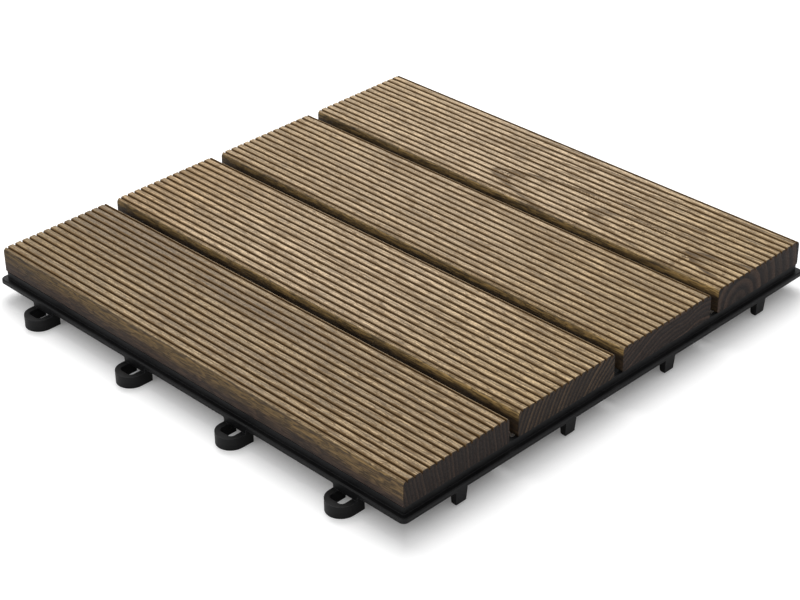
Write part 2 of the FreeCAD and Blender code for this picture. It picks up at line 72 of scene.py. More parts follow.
class Graph:
    """The nodes of one material or node group, with short ways to add and join them."""

    def __init__(self, tree: bpy.types.NodeTree) -> None:
        """Take the node tree to fill."""
        self.tree = tree

    def add(self, kind: str, **settings: object) -> bpy.types.Node:
        """Add one node.

        Args:
            kind: Blender's name of the node's type.
            settings: properties to set on the node.

        Returns:
            The new node.
        """
        node = self.tree.nodes.new(kind)
        for name, value in settings.items():
            setattr(node, name, value)
        return node

    def feed(self, socket: Socket, value: object) -> None:
        """Link a socket to another one, or give it a plain value.

        Args:
            socket: the input to feed.
            value: another node's output, a number, a vector or a colour.
        """
        if isinstance(value, Socket):
            self.tree.links.new(value, socket)
        elif socket.type == "RGBA" and len(value) == 3:
            socket.default_value = (*value, 1.0)
        else:
            socket.default_value = value

    def feed_all(self, node: bpy.types.Node, values: dict[str, object]) -> bpy.types.Node:
        """Feed several inputs of a node.

        Args:
            node: the node.
            values: what feeds its inputs, by their names.

        Returns:
            The same node.
        """
        for name, value in values.items():
            self.feed(node.inputs[name], value)
        return node

    def math(self, operation: str, *values: object, clamp: bool = False) -> Socket:
        """Work out one number from up to three others.

        Args:
            operation: the Math node's operation.
            values: its inputs, in order.
            clamp: whether the result is held between 0 and 1.

        Returns:
            The result's socket.
        """
        node = self.add("ShaderNodeMath", operation=operation, use_clamp=clamp)
        for socket, value in zip(node.inputs, values):
            self.feed(socket, value)
        return node.outputs[0]

    # Short names for arithmetic with two values. The last gives the larger one.
    plus = partialmethod(math, "ADD")
    minus = partialmethod(math, "SUBTRACT")
    over = partialmethod(math, "DIVIDE")
    most = partialmethod(math, "MAXIMUM")

    def times(self, *values: object) -> Socket:
        """Return the product of two or more values."""
        return reduce(lambda product, value: self.math("MULTIPLY", product, value), values)

    def length(self, first: object, second: object) -> Socket:
        """Return the length of a vector with two parts."""
        return self.math("SQRT", self.plus(self.math("POWER", first, 2.0), self.math("POWER", second, 2.0)))

    def blend(self, factor: object, first: object, second: object, mode: str = "MIX") -> Socket:
        """Mix two colours.

        Args:
            factor: share of the second colour.
            first: colour at 0.
            second: colour at 1.
            mode: blend mode.

        Returns:
            The mixed colour's socket.
        """
        node = self.add("ShaderNodeMix", data_type="RGBA", blend_type=mode)
        for index, value in ((0, factor), (6, first), (7, second)):
            self.feed(node.inputs[index], value)
        return node.outputs[2]

    def step(self, value: object, low: object, high: object, start: float = 0.0, end: float = 1.0) -> Socket:
        """Ease a value from one level to another between two limits.

        Args:
            value: the value that is looked at.
            low: where the change starts.
            high: where it ends.
            start: result below the change.
            end: result above it.

        Returns:
            The eased value's socket.
        """
        node = self.add("ShaderNodeMapRange", interpolation_type="SMOOTHSTEP")
        for index, given in enumerate((value, low, high, start, end)):
            self.feed(node.inputs[index], given)
        return node.outputs[0]

    # The same, from 1 down to 0.
    fall = partialmethod(step, start=1.0, end=0.0)

    def noise(self, vector: object, scale: float = 1.0, detail: float = 2.0,
              roughness: float = 0.5) -> Socket:
        """Add fractal noise.

        Args:
            vector: where it is looked up.
            scale: its scale.
            detail: its number of finer layers.
            roughness: strength of the finer layers.

        Returns:
            The noise's value, about 0 to 1.
        """
        node = self.feed_all(self.add("ShaderNodeTexNoise"), {
            "Vector": vector, "Scale": scale, "Detail": detail, "Roughness": roughness,
        })
        return node.outputs["Fac"]

    def split(self, vector: object) -> tuple[Socket, ...]:
        """Return the three parts of a vector."""
        return tuple(self.feed_all(self.add("ShaderNodeSeparateXYZ"), {"Vector": vector}).outputs)

    def join(self, *parts: object) -> Socket:
        """Return a vector made of three numbers."""
        return self.feed_all(self.add("ShaderNodeCombineXYZ"), dict(zip("XYZ", parts))).outputs[0]

    def scale(self, vector: object, factor: object) -> Socket:
        """Return a vector or colour times a number."""
        node = self.add("ShaderNodeVectorMath", operation="SCALE")
        return self.feed_all(node, {"Vector": vector, "Scale": factor}).outputs[0]

    def place_mm(self) -> Socket:
        """Return the shaded point in millimetres of the tile's frame."""
        return self.scale(self.add("ShaderNodeTexCoord").outputs["Object"], 1.0 / MM)

    def bump(self, height: object, depth_mm: float, strength: float = 1.0, normal: object = None) -> Socket:
        """Turn a height into a normal.

        Args:
            height: the height, 0 to 1.
            depth_mm: what a height of 1 stands for.
            strength: how much of it shows.
            normal: a normal to start from.

        Returns:
            The bumped normal's socket.
        """
        node = self.feed_all(self.add("ShaderNodeBump"), {
            "Height": height, "Distance": depth_mm * MM, "Strength": strength,
        })
        if normal is not None:
            self.feed(node.inputs["Normal"], normal)
        return node.outputs[0]


class SharedEffect:
    """A node group that several materials use, built when it is first placed."""

    label = ""
    inputs: tuple[str, ...] = ()
    outputs: tuple[str, ...] = ()
    vectors = ("Position", "Normal")

    def fill(self, graph: Graph, given: Sockets) -> tuple[Socket, ...]:
        """Build what the group does.

        Args:
            graph: the group's own nodes.
            given: the group's inputs by name.

        Returns:
            What the group puts out, in the order of its outputs.
        """
        raise NotImplementedError

    def tree(self) -> bpy.types.NodeTree:
        """Build the group where it doesn't exist yet.

        Returns:
            The group's node tree.
        """
        tree = bpy.data.node_groups.get(self.label)
        if tree:
            return tree
        tree = bpy.data.node_groups.new(self.label, "ShaderNodeTree")
        for side, names in (("INPUT", self.inputs), ("OUTPUT", self.outputs)):
            for name in names:
                kind = "NodeSocketVector" if name in self.vectors else "NodeSocketFloat"
                tree.interface.new_socket(name, in_out=side, socket_type=kind)
        graph = Graph(tree)
        entry = graph.add("NodeGroupInput")
        leave = graph.add("NodeGroupOutput")
        results = self.fill(graph, {socket.name: socket for socket in entry.outputs if socket.name})
        for socket, result in zip(leave.inputs, results):
            graph.feed(socket, result)
        return tree

    def place(self, graph: Graph, values: dict[str, object]) -> Sockets:
        """Put the group into a material.

        Args:
            graph: the material's nodes.
            values: what feeds the group's inputs, by name.

        Returns:
            The group's outputs by name.
        """
        node = graph.feed_all(graph.add("ShaderNodeGroup", node_tree=self.tree()), values)
        return {socket.name: socket for socket in node.outputs}


class LogRings(SharedEffect):
    """Growth rings of a log that runs along X, so that top, sides and ends of a slat agree."""

    label = "log_rings"
    inputs = ("Position", "Pith Across", "Pith Height", "Lean", "Ring Width", "Line Start", "Waviness",
              "Bend", "Seed")
    outputs = ("Latewood", "Ring Tone", "Ring Phase")
    sway_along = 0.011
    sway_across = 0.03
    line_end = 0.93

    def fill(self, graph: Graph, given: Sockets) -> tuple[Socket, ...]:
        """Measure the way to the pith, bend it with slow noise, and cut it into rings.

        Args:
            graph: the group's nodes.
            given: the group's inputs.

        Returns:
            The late wood, each ring's own tone, and how far through its ring the point is.
        """
        along, across, up = graph.split(given["Position"])
        slow = graph.join(
            graph.math("MULTIPLY_ADD", along, self.sway_along, given["Seed"]),
            graph.times(across, self.sway_across),
            graph.times(up, self.sway_across),
        )
        sway = graph.times(graph.minus(graph.noise(slow, 1.0, 2.0), 0.5), 2.0)
        other = graph.times(graph.minus(graph.noise(slow, 1.7, 1.0), 0.5), 2.0)
        side = graph.minus(across, given["Pith Across"])
        side = graph.plus(side, graph.times(sway, given["Waviness"]))
        rise = graph.minus(up, given["Pith Height"])
        rise = graph.minus(rise, graph.times(along, given["Lean"]))
        rise = graph.plus(rise, graph.times(other, given["Waviness"]))
        way = graph.length(side, rise)
        rings = graph.plus(graph.over(way, given["Ring Width"]), given["Bend"])
        part = graph.math("FRACT", rings)
        darkening = graph.step(part, given["Line Start"], 0.9)
        late = graph.times(darkening, graph.fall(part, self.line_end, 1.0))
        tone = graph.add("ShaderNodeTexWhiteNoise", noise_dimensions="1D")
        graph.feed(tone.inputs["W"], graph.plus(graph.math("FLOOR", rings), given["Seed"]))
        return late, tone.outputs["Value"], part


class Fibres(SharedEffect):
    """Long fibres and short dark pores along X."""

    label = "fibres"
    inputs = ("Position", "Length", "Width", "Seed")
    outputs = ("Streak", "Dark Line", "Speckle")
    sway_mm = 3.0
    line_width = 0.075

    def stretched(self, graph: Graph, given: Sockets, sway: object, length: float, width: float) -> Socket:
        """Return the point drawn out along the grain.

        Args:
            graph: the group's nodes.
            given: the group's inputs.
            sway: how far the grain strays sideways there, in millimetres.
            length: share of the group's length that one pattern takes.
            width: share of its width.

        Returns:
            The drawn-out point, for a noise of scale 1.
        """
        along, across, up = graph.split(given["Position"])
        long = graph.times(given["Length"], length)
        wide = graph.times(given["Width"], width)
        return graph.join(
            graph.plus(graph.over(along, long), given["Seed"]),
            graph.over(graph.plus(across, sway), wide),
            graph.over(up, wide),
        )

    def fill(self, graph: Graph, given: Sockets) -> tuple[Socket, ...]:
        """Stretch noises into fibres, wavy dark lines and short speckle.

        Args:
            graph: the group's nodes.
            given: the group's inputs.

        Returns:
            The fibres, the dark lines and the speckle, each 0 to 1.
        """
        along, across, _ = graph.split(given["Position"])
        slow = graph.join(graph.times(along, 0.09), graph.times(across, 0.16), given["Seed"])
        sway = graph.times(graph.noise(slow, 1.0, 2.0), self.sway_mm)
        fibre = graph.noise(self.stretched(graph, given, sway, 1.0, 1.0), 1.0, 3.0, 0.65)
        ridge = graph.minus(graph.noise(self.stretched(graph, given, sway, 1.6, 1.9), 1.0, 1.0), 0.5)
        line = graph.fall(graph.math("ABSOLUTE", ridge), 0.0, self.line_width)
        pores = graph.noise(self.stretched(graph, given, 0.0, 0.1, 0.8), 1.0, 2.0, 0.6)
        return graph.step(fibre, 0.34, 0.66), line, graph.step(pores, 0.3, 0.7)


class SettledDust(SharedEffect):
    """Patchy dust, thicker on what faces up."""

    label = "settled_dust"
    inputs = ("Position", "Patch Size", "Amount")
    outputs = ("Dust",)

    def fill(self, graph: Graph, given: Sockets) -> tuple[Socket, ...]:
        """Multiply patchy noise by how far the surface faces up.

        Args:
            graph: the group's nodes.
            given: the group's inputs.

        Returns:
            The dust, 0 to 1.
        """
        spot = graph.scale(given["Position"], graph.over(1.0, given["Patch Size"]))
        patches = graph.step(graph.noise(spot, 1.0, 4.0, 0.6), 0.35, 0.7)
        facing = graph.split(graph.add("ShaderNodeNewGeometry").outputs["Normal"])[2]
        raised = graph.step(facing, -0.2, 0.9, 0.15, 1.0)
        return (graph.times(patches, raised, given["Amount"]),)


class SoftenedEdges(SharedEffect):
    """Rounded arrises for the light, and a mask of where they are."""

    label = "softened_edges"
    inputs = ("Sharpness",)
    outputs = ("Normal", "Edge")
    radius_mm = 0.35

    def fill(self, graph: Graph, given: Sockets) -> tuple[Socket, ...]:
        """Compare the bevelled normal with the plain one.

        Args:
            graph: the group's nodes.
            given: the group's inputs.

        Returns:
            The bevelled normal, and 1 where it turns most.
        """
        bevel = graph.add("ShaderNodeBevel", samples=6)
        graph.feed(bevel.inputs["Radius"], self.radius_mm * MM)
        plain = graph.add("ShaderNodeNewGeometry").outputs["Normal"]
        dot = graph.add("ShaderNodeVectorMath", operation="DOT_PRODUCT")
        graph.feed(dot.inputs[0], bevel.outputs[0])
        graph.feed(dot.inputs[1], plain)
        turned = graph.minus(1.0, dot.outputs["Value"])
        return bevel.outputs[0], graph.math("DIVIDE", turned, given["Sharpness"], clamp=True)


# Finishes


class Finish:
    """Something that dresses a surface in one Blender material."""

    def new(self, name: str) -> tuple[bpy.types.Material, Graph, bpy.types.Node]:
        """Start a material.

        Args:
            name: the material's name.

        Returns:
            The material, its nodes and its Principled shader.
        """
        material = bpy.data.materials.new(name)
        material.use_nodes = True
        graph = Graph(material.node_tree)
        return material, graph, material.node_tree.nodes["Principled BSDF"]


class LogCut(Enum):
    """How a slat was sawn: its pith's way from the middle of its underside, and its rings' width."""

    QUARTER_SAWN = (-130.0, -10.0, 2.3)
    RIFT_SAWN = (62.0, -36.0, 2.9)
    OUTER_SAWN = (24.0, -95.0, 2.6)
    FLAT_SAWN = (-17.0, -15.2, 6.3)


@dataclass(frozen=True)
class Spot:
    """A soft oval on top of the tile: a knot, a line of figure or a weathered patch, in millimetres."""

    x: float
    y: float
    along: float
    across: float
    slant: float = 0.0

    def nearness(self, graph: Graph, spot: Socket) -> Socket:
        """Return how near the shaded point is to the oval's middle.

        Args:
            graph: the material's nodes.
            spot: the shaded point in millimetres.

        Returns:
            1 in the middle, 0 at the oval's edge and beyond.
        """
        along, across, _ = graph.split(spot)
        forward = graph.minus(along, self.x)
        sideways = graph.minus(graph.minus(across, self.y), graph.times(forward, self.slant))
        way = graph.length(graph.over(forward, self.along), graph.over(sideways, self.across))
        return graph.fall(way, 0.0, 1.0)


@dataclass(frozen=True)
class WoodPoint:
    """A shaded point of a slat, in millimetres, with what its log is like there."""

    spot: Socket
    along: Socket
    across: Socket
    up: Socket
    from_middle: Socket
    rings: Sockets
    fibres: Sockets


@dataclass(frozen=True)
class WoodFinish(Finish):
    """Brown-stained softwood: pale crests, very dark ends, painted shade in the grooves and down the flanks,
    and a painted highlight on the far arris.
    """

    name: str
    middle_y: float
    cut: LogCut
    seed: float
    early: Colour = (0.6, 0.455, 0.295)
    late: Colour = (0.18, 0.11, 0.045)
    weathered: Colour = (0.225, 0.17, 0.115)
    line_brown: Colour = (0.11, 0.066, 0.026)
    # Painted highlight along the far (+Y) arris of each slat.
    painted_rim_highlight: Colour = (0.72, 0.58, 0.41)
    # Painted shade: the colours that darken the groove mouths and the groove floors.
    painted_mouth_shade: Colour = (0.15, 0.08, 0.02)
    painted_groove_shade: Colour = (0.062, 0.028, 0.005)
    start_tint: Colour = (0.92, 0.9, 0.85)
    end_tint: Colour = (0.9, 0.87, 0.76)
    flank_gold: Colour = (0.27, 0.175, 0.065)
    # Painted shade at the flanks' foot and on the slat's underside, and the colour of the flanks' latewood
    # lines.
    flank_shade_and_latewood: Colour = (0.05, 0.03, 0.014)
    end_dark: Colour = (0.014, 0.009, 0.0075)
    end_line: Colour = (0.068, 0.04, 0.028)
    knots: tuple[Spot, ...] = ()
    figure: tuple[Spot, ...] = ()
    stains: tuple[Spot, ...] = ()
    ring_contrast: float = 0.45
    figure_from: float = -300.0
    line_start: float = 0.5
    lean: float = 0.02
    waviness: float = 3.0
    knot_bend: float = 0.3
    weathering: float = 0.25
    stain_strength: float = 0.9
    far_lines: float = 0.42
    near_lines: float = 0.5
    mark_stray: float = 5.0
    fibre_length: float = 11.0
    fibre_width: float = 0.75
    streak_shades: Point = (0.7, 1.16)
    speckle_shades: Point = (0.74, 1.24)
    # How much painted shade the groove mouths and the crests beside them get.
    mouth_shade_share: float = 0.86
    # Heights above the slat's bottom between which the flanks' painted shade fades out.
    flank_shade_heights: Point = (8.4, 11.4)
    far_glow: float = 0.7
    near_glow: float = 1.45
    flank_shades: Point = (0.55, 1.45)
    roughness: Point = (0.62, 0.76)
    specular: float = 0.35
    relief_mm: float = 0.09
    tint_reach: Point = (-50.0, 10.0)
    patch_scales: Point = (0.012, 0.05)
    stray_scale: float = 0.16
    groove_shadow: Point = (0.75, 1.3)
    painted_rim_share: float = 0.5
    # How much painted shade the slat's underside gets.
    underside_shade_share: float = 0.55
    flank_late: float = 0.55
    flank_lines: float = 0.6

    def crest_colour(self, graph: Graph, at: WoodPoint) -> Socket:
        """Mix the colour of the walked-on crests.

        Args:
            graph: the material's nodes.
            at: the shaded point.

        Returns:
            The crests' colour.
        """
        tone = graph.step(at.rings["Ring Tone"], 0.0, 1.0, 0.6 * self.ring_contrast, self.ring_contrast)
        tone = graph.times(tone, graph.step(at.along, self.figure_from - 20.0, self.figure_from, 0.3, 1.0))
        ground = graph.blend(graph.step(at.along, -HALF_LENGTH, self.tint_reach[0]), self.start_tint, WHITE)
        ground = graph.blend(graph.step(at.along, self.tint_reach[1], HALF_LENGTH), ground, self.end_tint)
        ground = graph.blend(1.0, self.early, ground, "MULTIPLY")
        colour = graph.blend(graph.times(at.rings["Latewood"], tone), ground, self.late)
        slow_along = graph.math("MULTIPLY_ADD", at.along, self.patch_scales[0], self.seed)
        broad = graph.join(slow_along, graph.times(at.across, self.patch_scales[1]), 0.0)
        patch = graph.step(graph.noise(broad, 1.0, 3.0, 0.55), 0.42, 0.68, 0.0, self.weathering)
        for stain in self.stains:
            patch = graph.most(patch, graph.times(stain.nearness(graph, at.spot), self.stain_strength))
        colour = graph.blend(patch, colour, self.weathered)
        shade = graph.times(graph.step(at.fibres["Streak"], 0.0, 1.0, *self.streak_shades),
                            graph.step(at.fibres["Speckle"], 0.0, 1.0, *self.speckle_shades))
        colour = graph.scale(colour, shade)
        lined = graph.step(at.along, -40.0, 120.0, self.far_lines, self.near_lines)
        colour = graph.blend(graph.times(at.fibres["Dark Line"], lined), colour, self.line_brown)
        stray = graph.minus(graph.noise(at.spot, self.stray_scale, 3.0, 0.6), 0.5)
        stray = graph.plus(at.across, graph.times(stray, self.mark_stray))
        marks = self.marks(graph, graph.join(at.along, stray, at.up))
        broken = graph.step(at.fibres["Speckle"], 0.35, 0.65, 1.0, 0.1)
        return graph.blend(graph.times(marks, broken), colour, self.line_brown)

    def marks(self, graph: Graph, spot: object) -> object:
        """Gather the lines of figure and the knots.

        Args:
            graph: the material's nodes.
            spot: the shaded point in millimetres, led a little astray.

        Returns:
            1 on a mark, 0 beside it.
        """
        marks = 0.0
        for ovals, low, high in ((self.figure, 0.0, 0.7), (self.knots, 0.2, 0.8)):
            for oval in ovals:
                marks = graph.most(marks, graph.step(oval.nearness(graph, spot), low, high))
        return marks

    def grooved_colour(self, graph: Graph, at: WoodPoint, crest: Socket) -> Socket:
        """Paint shade into the grooves, and a painted highlight along the far arris.

        The crests get painted shade beside the grooves too, along a line that wanders a little with the
        fibres.

        Args:
            graph: the material's nodes.
            at: the shaded point.
            crest: the crests' colour.

        Returns:
            The top's colour.
        """
        start = self.middle_y - OUTER_GROOVE - GROOVE_PITCH / 2
        turn = graph.math("FRACT", graph.over(graph.minus(at.across, start), GROOVE_PITCH))
        way = graph.times(graph.math("ABSOLUTE", graph.minus(turn, 0.5)), GROOVE_PITCH)
        way = graph.minus(way, graph.times(at.fibres["Dark Line"], 0.5))
        # Painted shade on the crests beside the grooves.
        inner = graph.fall(at.from_middle, OUTER_GROOVE + 0.6, OUTER_GROOVE + 0.95)
        beside = graph.times(graph.fall(way, *self.groove_shadow), inner)
        between = graph.fall(at.from_middle, HALF_WIDTH - 1.3, HALF_WIDTH - 1.1)
        # Painted shade in the groove mouths and, deeper down, on the groove floors.
        mouth = graph.times(graph.fall(at.up, SLAT_TOP - 0.34, SLAT_TOP - 0.03), between)
        floor = graph.times(graph.fall(at.up, SLAT_TOP - 1.2, SLAT_TOP - 0.3), between)
        in_top = graph.step(at.up, SLAT_TOP - 2.2, SLAT_TOP - 1.8)
        mouth = graph.times(graph.most(mouth, beside), self.mouth_shade_share, in_top)
        colour = graph.blend(mouth, crest, self.painted_mouth_shade)
        colour = graph.blend(graph.times(floor, in_top), colour, self.painted_groove_shade)
        # Painted highlight: a paler line along the far arris, where the lamp behind the tile would catch it.
        far_side = graph.minus(at.across, self.middle_y)
        far_side = graph.step(far_side, OUTER_GROOVE + 0.9, OUTER_GROOVE + 1.2)
        painted_rim_highlight = graph.times(far_side, graph.step(at.up, SLAT_TOP - 1.0, SLAT_TOP - 0.4), self.painted_rim_share)
        return graph.blend(painted_rim_highlight, colour, self.painted_rim_highlight)

    def flank_colour(self, graph: Graph, at: WoodPoint) -> Socket:
        """Mix the colour of the long sides: gold above, painted shade below, with the fibres running along.

        Args:
            graph: the material's nodes.
            at: the shaded point.

        Returns:
            The flanks' colour.
        """
        # Painted shade: the flanks darken downwards, where the gaps between the slats and the grid keep the
        # light off.
        low = graph.fall(at.up, SLAT_BOTTOM + self.flank_shade_heights[0], SLAT_BOTTOM + self.flank_shade_heights[1])
        glow = graph.times(graph.step(at.along, -HALF_LENGTH, -40.0, self.far_glow, 1.0),
                           graph.step(at.along, 40.0, HALF_LENGTH, 1.0, self.near_glow))
        flank = graph.blend(low, graph.scale(self.flank_gold, glow), self.flank_shade_and_latewood)
        # Latewood lines on the flanks, in the same dark colour.
        flank = graph.blend(graph.times(at.rings["Latewood"], self.flank_late), flank, self.flank_shade_and_latewood)
        flank = graph.scale(flank, graph.step(at.fibres["Streak"], 0.0, 1.0, *self.flank_shades))
        return graph.blend(graph.times(at.fibres["Dark Line"], self.flank_lines), flank, self.end_dark)

    def end_colour(self, graph: Graph, at: WoodPoint) -> Socket:
        """Mix the colour of the sawn ends.

        Args:
            graph: the material's nodes.
            at: the shaded point.

        Returns:
            The ends' colour, with the rings as paler lines.
        """
        line = graph.times(graph.step(at.rings["Ring Phase"], 0.2, 0.85),
                           graph.step(at.rings["Ring Tone"], 0.0, 1.0, 0.35, 1.0))
        end = graph.blend(line, self.end_dark, self.end_line)
        return graph.scale(end, graph.step(at.fibres["Speckle"], 0.0, 1.0, 0.7, 1.3))

    def look_up(self, graph: Graph) -> WoodPoint:
        """Work out where the shaded point is in the slat and in its log.

        Args:
            graph: the material's nodes.

        Returns:
            The shaded point.
        """
        spot = graph.place_mm()
        along, across, up = graph.split(spot)
        shift, height, width = self.cut.value
        bend = 0.0
        for knot in self.knots:
            bend = graph.math("MULTIPLY_ADD", knot.nearness(graph, spot), self.knot_bend, bend)
        rings = LogRings().place(graph, {
            "Position": spot, "Pith Across": self.middle_y + shift, "Pith Height": SLAT_BOTTOM + height,
            "Lean": self.lean, "Ring Width": width, "Line Start": self.line_start,
            "Waviness": self.waviness, "Bend": bend, "Seed": self.seed,
        })
        fibres = Fibres().place(graph, {
            "Position": spot, "Length": self.fibre_length, "Width": self.fibre_width, "Seed": self.seed,
        })
        from_middle = graph.math("ABSOLUTE", graph.minus(across, self.middle_y))
        return WoodPoint(spot, along, across, up, from_middle, rings, fibres)

    def material(self) -> bpy.types.Material:
        """Lay the colours of crests, grooves, flanks and ends over one another.

        Returns:
            The slat's material.
        """
        material, graph, shader = self.new(self.name)
        at = self.look_up(graph)
        colour = self.grooved_colour(graph, at, self.crest_colour(graph, at))
        # Painted shade on the slat's underside, where it rests on the grid.
        underside_shade = graph.fall(at.up, SLAT_BOTTOM + 0.1, SLAT_BOTTOM + 1.0)
        colour = graph.blend(graph.times(underside_shade, self.underside_shade_share), colour, self.flank_shade_and_latewood)

        at_flank = graph.step(at.from_middle, HALF_WIDTH - 1.5, HALF_WIDTH - 0.8)
        low = graph.fall(at.up, SLAT_TOP - 1.3, SLAT_TOP - 0.45)
        sides = graph.most(graph.times(at_flank, low),
                           graph.step(at.from_middle, HALF_WIDTH - 0.2, HALF_WIDTH))
        colour = graph.blend(sides, colour, self.flank_colour(graph, at))
        facing = graph.split(graph.add("ShaderNodeNewGeometry").outputs["Normal"])
        at_end = graph.step(graph.math("ABSOLUTE", facing[0]), 0.5, 0.8)

        relief = graph.math("MULTIPLY_ADD", at.rings["Latewood"], 0.4, at.fibres["Streak"])
        relief = graph.minus(relief, at.fibres["Dark Line"])
        graph.feed_all(shader, {
            "Base Color": graph.blend(at_end, colour, self.end_colour(graph, at)),
            "Roughness": graph.step(at.fibres["Streak"], 0.0, 1.0, *self.roughness),
            "Specular IOR Level": self.specular,
            "Normal": graph.bump(relief, self.relief_mm, 0.7),
        })
        return material


@dataclass(frozen=True)
class PlasticFinish(Finish):
    """Black recycled moulding plastic: a fine matte skin, arrises paler with wear and a painted highlight,
    and a little dust.
    """

    name: str = "black_moulding_plastic"
    body: Colour = (0.0045, 0.0045, 0.005)
    blotch: Colour = (0.02, 0.02, 0.022)
    # Paler arrises: partly wear, partly a painted highlight standing in for glints.
    wear_and_glint: Colour = (0.06, 0.06, 0.064)
    dust: Colour = (0.06, 0.057, 0.052)
    edge_sharpness: float = 0.1
    wear_and_glint_share: float = 0.6
    dust_patch: float = 14.0
    dust_amount: float = 0.06
    roughness: Point = (0.42, 0.56)
    specular: float = 0.22
    relief_mm: float = 0.05

    def material(self) -> bpy.types.Material:
        """Lay blotches, arrises paler with wear and a painted highlight, and dust over the plastic.

        Returns:
            The grid's material.
        """
        material, graph, shader = self.new(self.name)
        spot = graph.place_mm()
        edges = SoftenedEdges().place(graph, {"Sharpness": self.edge_sharpness})
        dust = SettledDust().place(graph, {
            "Position": spot, "Patch Size": self.dust_patch, "Amount": self.dust_amount,
        })
        blotch = graph.noise(spot, 0.06, 3.0, 0.55)
        colour = graph.blend(graph.step(blotch, 0.35, 0.7, 0.0, 0.25), self.body, self.blotch)
        # Arrises paler: partly wear, partly a painted highlight standing in for glints.
        colour = graph.blend(graph.times(edges["Edge"], self.wear_and_glint_share), colour, self.wear_and_glint)
        grain = graph.noise(spot, 2.6, 3.0, 0.6)
        graph.feed_all(shader, {
            "Base Color": graph.blend(dust["Dust"], colour, self.dust),
            "Roughness": graph.step(blotch, 0.3, 0.7, *self.roughness),
            "Specular IOR Level": self.specular,
            "Normal": graph.bump(grain, self.relief_mm, 0.5, edges["Normal"]),
        })
        return material


@dataclass(frozen=True)
class SteelFinish(Finish):
    """Zinc-plated screw steel, clouded, with a little dust on what faces up."""

    name: str = "plated_screw_steel"
    plate: Colour = (0.56, 0.55, 0.52)
    dull: Colour = (0.3, 0.29, 0.27)
    edge_sharpness: float = 0.2
    dust_patch: float = 3.0
    dust_amount: float = 0.5
    roughness: Point = (0.26, 0.48)
    relief_mm: float = 0.02

    def material(self) -> bpy.types.Material:
        """Lay clouds and dust over the plating.

        Returns:
            The screws' material.
        """
        material, graph, shader = self.new(self.name)
        spot = graph.place_mm()
        edges = SoftenedEdges().place(graph, {"Sharpness": self.edge_sharpness})
        dust = SettledDust().place(graph, {
            "Position": spot, "Patch Size": self.dust_patch, "Amount": self.dust_amount,
        })
        cloud = graph.noise(spot, 0.9, 4.0, 0.6)
        colour = graph.blend(graph.step(cloud, 0.4, 0.65), self.plate, self.dull)
        grain = graph.noise(spot, 6.0, 2.0)
        graph.feed_all(shader, {
            "Base Color": graph.blend(dust["Dust"], colour, self.dull),
            "Roughness": graph.step(cloud, 0.3, 0.7, *self.roughness),
            "Metallic": 1.0,
            "Normal": graph.bump(grain, self.relief_mm, 0.4, edges["Normal"]),
        })
        return material


@dataclass(frozen=True)
class FloorFinish(Finish):
    """Plain white studio floor with hardly visible paper tooth.

    The camera sees it paler than the lamps make it, apart from the tile's own square, and doesn't see it
    from below. In that square it lets the sky's light up, so that the tile's underside isn't black.
    """

    name: str = "white_studio_floor"
    pale: Colour = (0.85, 0.85, 0.85)
    tooth: Colour = (0.78, 0.78, 0.78)
    lift: float = 0.4
    tile_half: float = 150.0

    def material(self) -> bpy.types.Material:
        """Build the paper, what the camera sees of it, and where it is clear.

        Returns:
            The floor's material.
        """
        material, graph, shader = self.new(self.name)
        spot = graph.place_mm()
        tooth = graph.noise(spot, 0.5, 2.0)
        paper = graph.blend(graph.step(tooth, 0.3, 0.7, 0.0, 0.02), self.pale, self.tooth)
        seen = graph.add("ShaderNodeLightPath").outputs["Is Camera Ray"]
        along, across, _ = graph.split(spot)
        outward = graph.most(graph.math("ABSOLUTE", along), graph.math("ABSOLUTE", across))
        outside = graph.step(outward, self.tile_half - 20.0, self.tile_half + 15.0, 0.0, self.lift)
        outside = graph.plus(outside, graph.step(outward, 3.0 * self.tile_half, 12.0 * self.tile_half))
        graph.feed_all(shader, {
            "Base Color": paper, "Roughness": 0.9, "Specular IOR Level": 0.0,
            "Emission Color": WHITE, "Emission Strength": graph.times(seen, outside),
        })
        below = graph.times(seen, graph.add("ShaderNodeNewGeometry").outputs["Backfacing"])
        under = graph.fall(outward, self.tile_half - 30.0, self.tile_half - 10.0)
        under = graph.times(graph.minus(1.0, seen), under)
        clear = graph.add("ShaderNodeMixShader")
        graph.feed(clear.inputs[0], graph.most(below, under))
        graph.feed(clear.inputs[1], shader.outputs[0])
        graph.feed(clear.inputs[2], graph.add("ShaderNodeBsdfTransparent").outputs[0])
        graph.feed(material.node_tree.nodes["Material Output"].inputs["Surface"], clear.outputs[0])
        return material


# Meshes


def finish_mesh(name: str, mesh: bmesh.types.BMesh, material: bpy.types.Material,
                sharp_degrees: float = 35.0, closed: bool = True) -> bpy.types.Object:
    """Turn a finished bmesh into an object with smooth faces and sharp arrises.

    Args:
        name: the object's name.
        mesh: the mesh, in millimetres. It is freed.
        material: what the object is dressed in.
        sharp_degrees: edges that turn further than this stay sharp.
        closed: whether the mesh has an outside, to which its faces are turned.

    Returns:
        The new object, in metres.
    """
    bmesh.ops.scale(mesh, vec=(MM, MM, MM), verts=mesh.verts)
    if closed:
        bmesh.ops.recalc_face_normals(mesh, faces=mesh.faces)
    data = bpy.data.meshes.new(name)
    mesh.to_mesh(data)
    mesh.free()
    data.polygons.foreach_set("use_smooth", [True] * len(data.polygons))
    data.set_sharp_from_angle(angle=math.radians(sharp_degrees))
    data.materials.append(material)
    piece = bpy.data.objects.new(name, data)
    bpy.context.scene.collection.objects.link(piece)
    return piece


